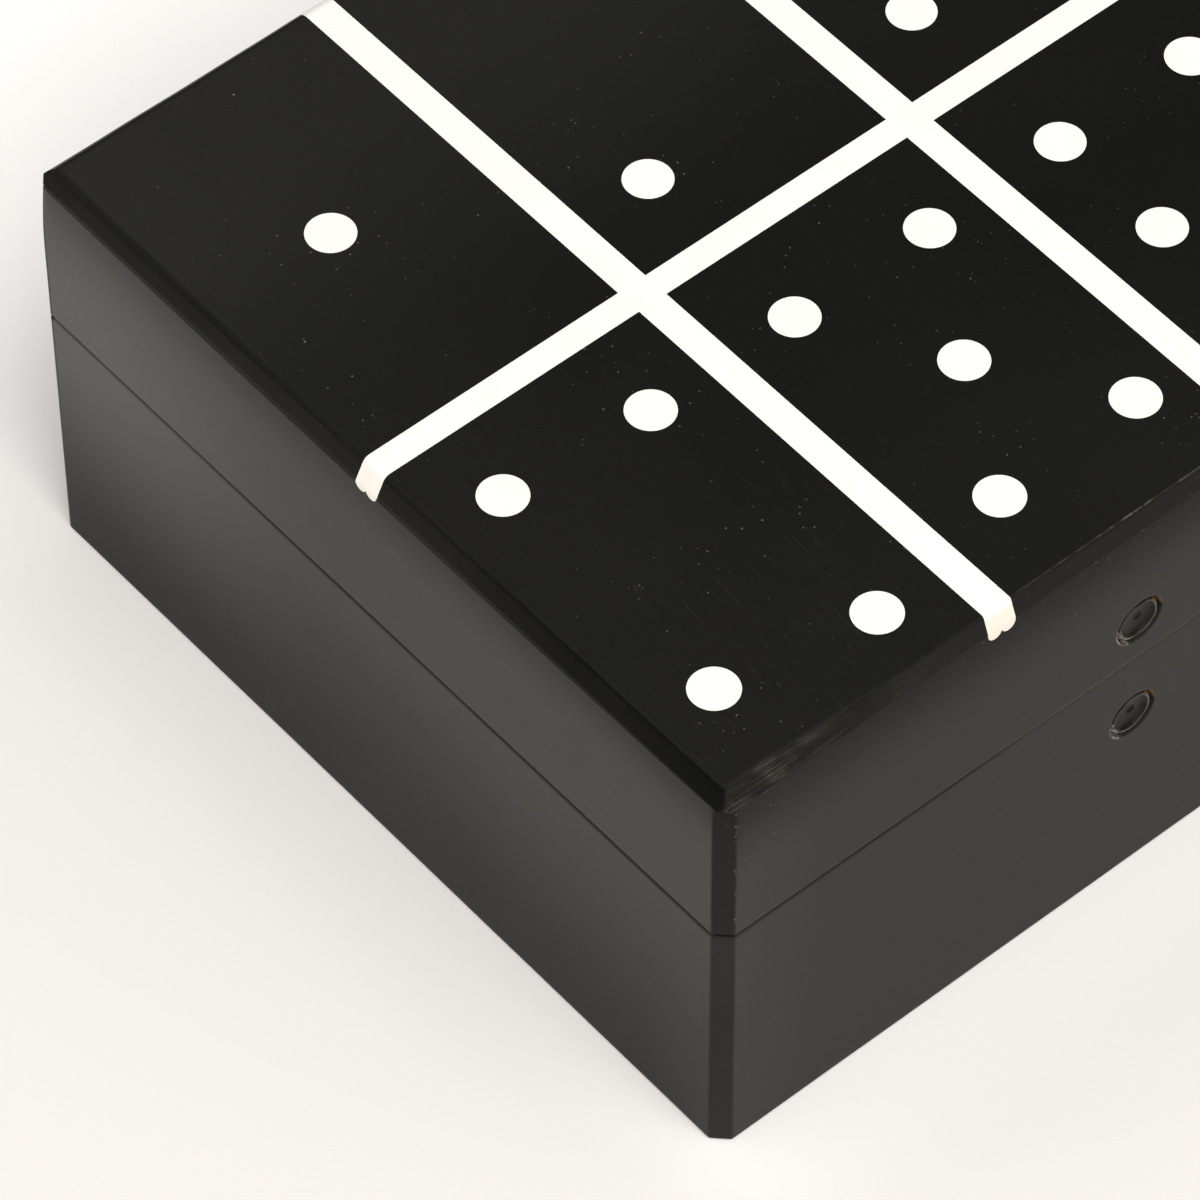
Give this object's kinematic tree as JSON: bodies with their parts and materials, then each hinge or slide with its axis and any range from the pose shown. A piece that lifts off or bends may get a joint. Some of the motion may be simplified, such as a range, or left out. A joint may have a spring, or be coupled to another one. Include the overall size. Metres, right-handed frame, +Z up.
{
  "type": "domino storage box",
  "caption": "Square black lacquered box with a hinged lid whose top shows three domino tiles with white strips and pips.",
  "frame": {"origin": "middle of the underside of the box", "axes": "+Z up, -Y the front with the two rivet heads, hinges at +Y, +X to the right seen from the front"},
  "size_m": [0.15, 0.1571, 0.08],
  "materials": {
    "black_lacquer": "satin black lacquer on wood",
    "black_plate": "satin black, fine dust and scratches",
    "white_resin": "poured white resin, sanded flush",
    "panel_board": "plain fibreboard",
    "felt": "dark green felt",
    "holder_plastic": "moulded black plastic",
    "magnet": "nickel-plated magnet",
    "steel": "zinc-plated steel strip",
    "rivet_brass": "brass, lacquered over with the walls",
    "hinge_brass": "polished brass"
  },
  "bodies": {
    "base": {"base_front_wall": "black_lacquer", "base_right_wall": "black_lacquer", "base_rear_wall": "black_lacquer", "base_left_wall": "black_lacquer", "base_floor": "panel_board", "base_lining": "felt", "catch_holder": "holder_plastic", "catch_magnet": "magnet", "base_catch_rivet": "rivet_brass", "hinge_leaf_base_left": "hinge_brass", "hinge_leaf_base_right": "hinge_brass", "hinge_pin_left": "hinge_brass", "hinge_pin_right": "hinge_brass", "hinge_screws_base": "hinge_brass"},
    "lid": {"lid_front_wall": "black_lacquer", "lid_right_wall": "black_lacquer", "lid_rear_wall": "black_lacquer", "lid_left_wall": "black_lacquer", "lid_core": "panel_board", "lid_lining": "felt", "strike_plate": "steel", "lid_catch_rivet": "rivet_brass", "hinge_leaf_lid_left": "hinge_brass", "hinge_leaf_lid_right": "hinge_brass", "hinge_screws_lid": "hinge_brass", "inlay_grid": "white_resin", "top_plate_1": "black_plate", "top_plate_2": "black_plate", "top_plate_3": "black_plate", "top_plate_4": "black_plate", "top_plate_5": "black_plate", "top_plate_6": "black_plate", "pip_1_1": "white_resin", "pip_2_1": "white_resin", "pip_2_2": "white_resin", "pip_3_1": "white_resin", "pip_3_2": "white_resin", "pip_3_3": "white_resin", "pip_4_1": "white_resin", "pip_4_2": "white_resin", "pip_4_3": "white_resin", "pip_4_4": "white_resin", "pip_5_1": "white_resin", "pip_5_2": "white_resin", "pip_5_3": "white_resin", "pip_5_4": "white_resin", "pip_5_5": "white_resin", "pip_6_1": "white_resin", "pip_6_2": "white_resin", "pip_6_3": "white_resin", "pip_6_4": "white_resin", "pip_6_5": "white_resin", "pip_6_6": "white_resin"}
  },
  "joints": [
    {"name": "lid_hinge", "type": "hinge", "parent": "base", "child": "lid", "pos_m": [0, 0.07755, 0.0485], "axis": [-1, 0, 0], "range_deg": [0, 100]}
  ]
}
